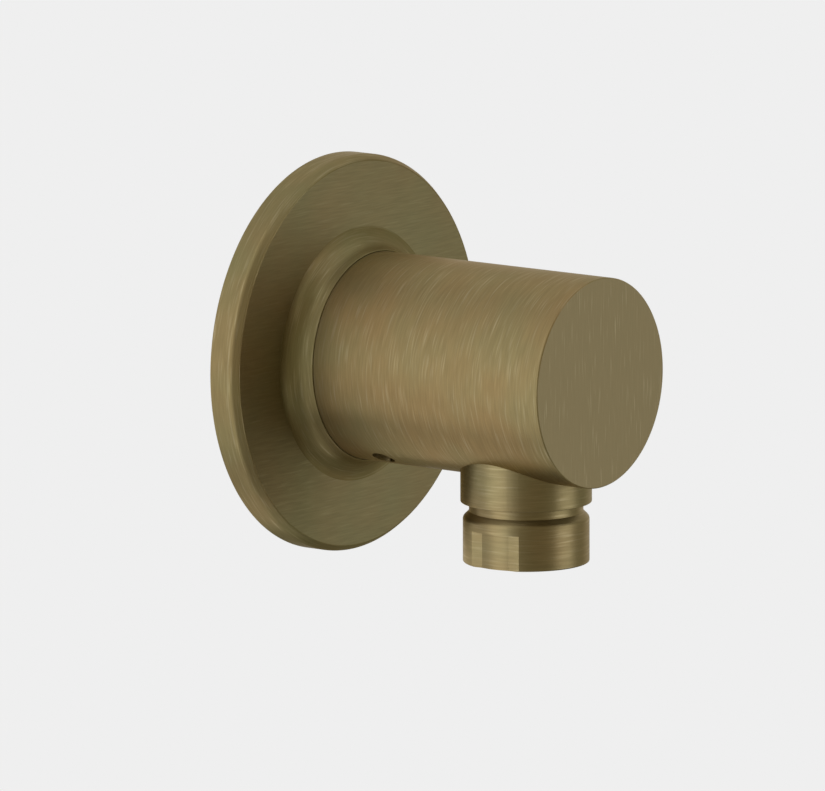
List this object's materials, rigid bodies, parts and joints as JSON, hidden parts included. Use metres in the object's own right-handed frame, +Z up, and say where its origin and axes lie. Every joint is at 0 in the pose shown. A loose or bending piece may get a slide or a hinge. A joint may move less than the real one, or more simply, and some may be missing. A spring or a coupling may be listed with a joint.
{
  "type": "wall outlet elbow",
  "caption": "Round brushed-bronze wall outlet elbow for a shower hose: coved cover flange, plain cylindrical body and a downward outlet with a non-return valve inside.",
  "frame": {"origin": "where the body's axis meets the wall plane, at the start of the wall connector's pipe thread", "axes": "+Y into the wall along the pipe thread, -Y along the body towards the room, +Z up, outlet pointing -Z"},
  "size_m": [0.0668, 0.0685, 0.0668],
  "materials": {
    "brushed_bronze": "brushed antique bronze, satin",
    "turned_brass": "bright turned brass",
    "stainless_steel": "drawn and turned stainless steel",
    "black_rubber": "moulded rubber",
    "foam_rubber": "closed-cell foam rubber",
    "fibre": "pressed vulcanised fibre",
    "white_acetal": "moulded acetal"
  },
  "bodies": {
    "elbow": {"elbow_body": "brushed_bronze", "wall_nipple": "turned_brass", "nipple_washer": "fibre", "spigot_o_ring_front": "black_rubber", "spigot_o_ring_rear": "black_rubber", "grub_screw": "stainless_steel", "outlet_nipple": "brushed_bronze", "outlet_gasket": "black_rubber", "valve_housing": "white_acetal", "cartridge_o_ring": "black_rubber", "valve_guide": "white_acetal", "valve_spring": "stainless_steel"},
    "flange": {"wall_flange": "brushed_bronze", "wall_seal": "foam_rubber", "hub_o_ring": "black_rubber"},
    "poppet": {"valve_poppet": "white_acetal", "valve_seal": "black_rubber"}
  },
  "joints": [
    {"name": "flange_slide", "type": "slide", "parent": "elbow", "child": "flange", "axis": [0, -1, 0], "range_m": [0, 0.019]},
    {"name": "poppet_slide", "type": "slide", "parent": "elbow", "child": "poppet", "axis": [0, 0, -1], "range_m": [0, 0.0025], "stiffness_N_per_m": 150, "springref_m": -0.0015, "deforming": ["valve_spring"]}
  ]
}
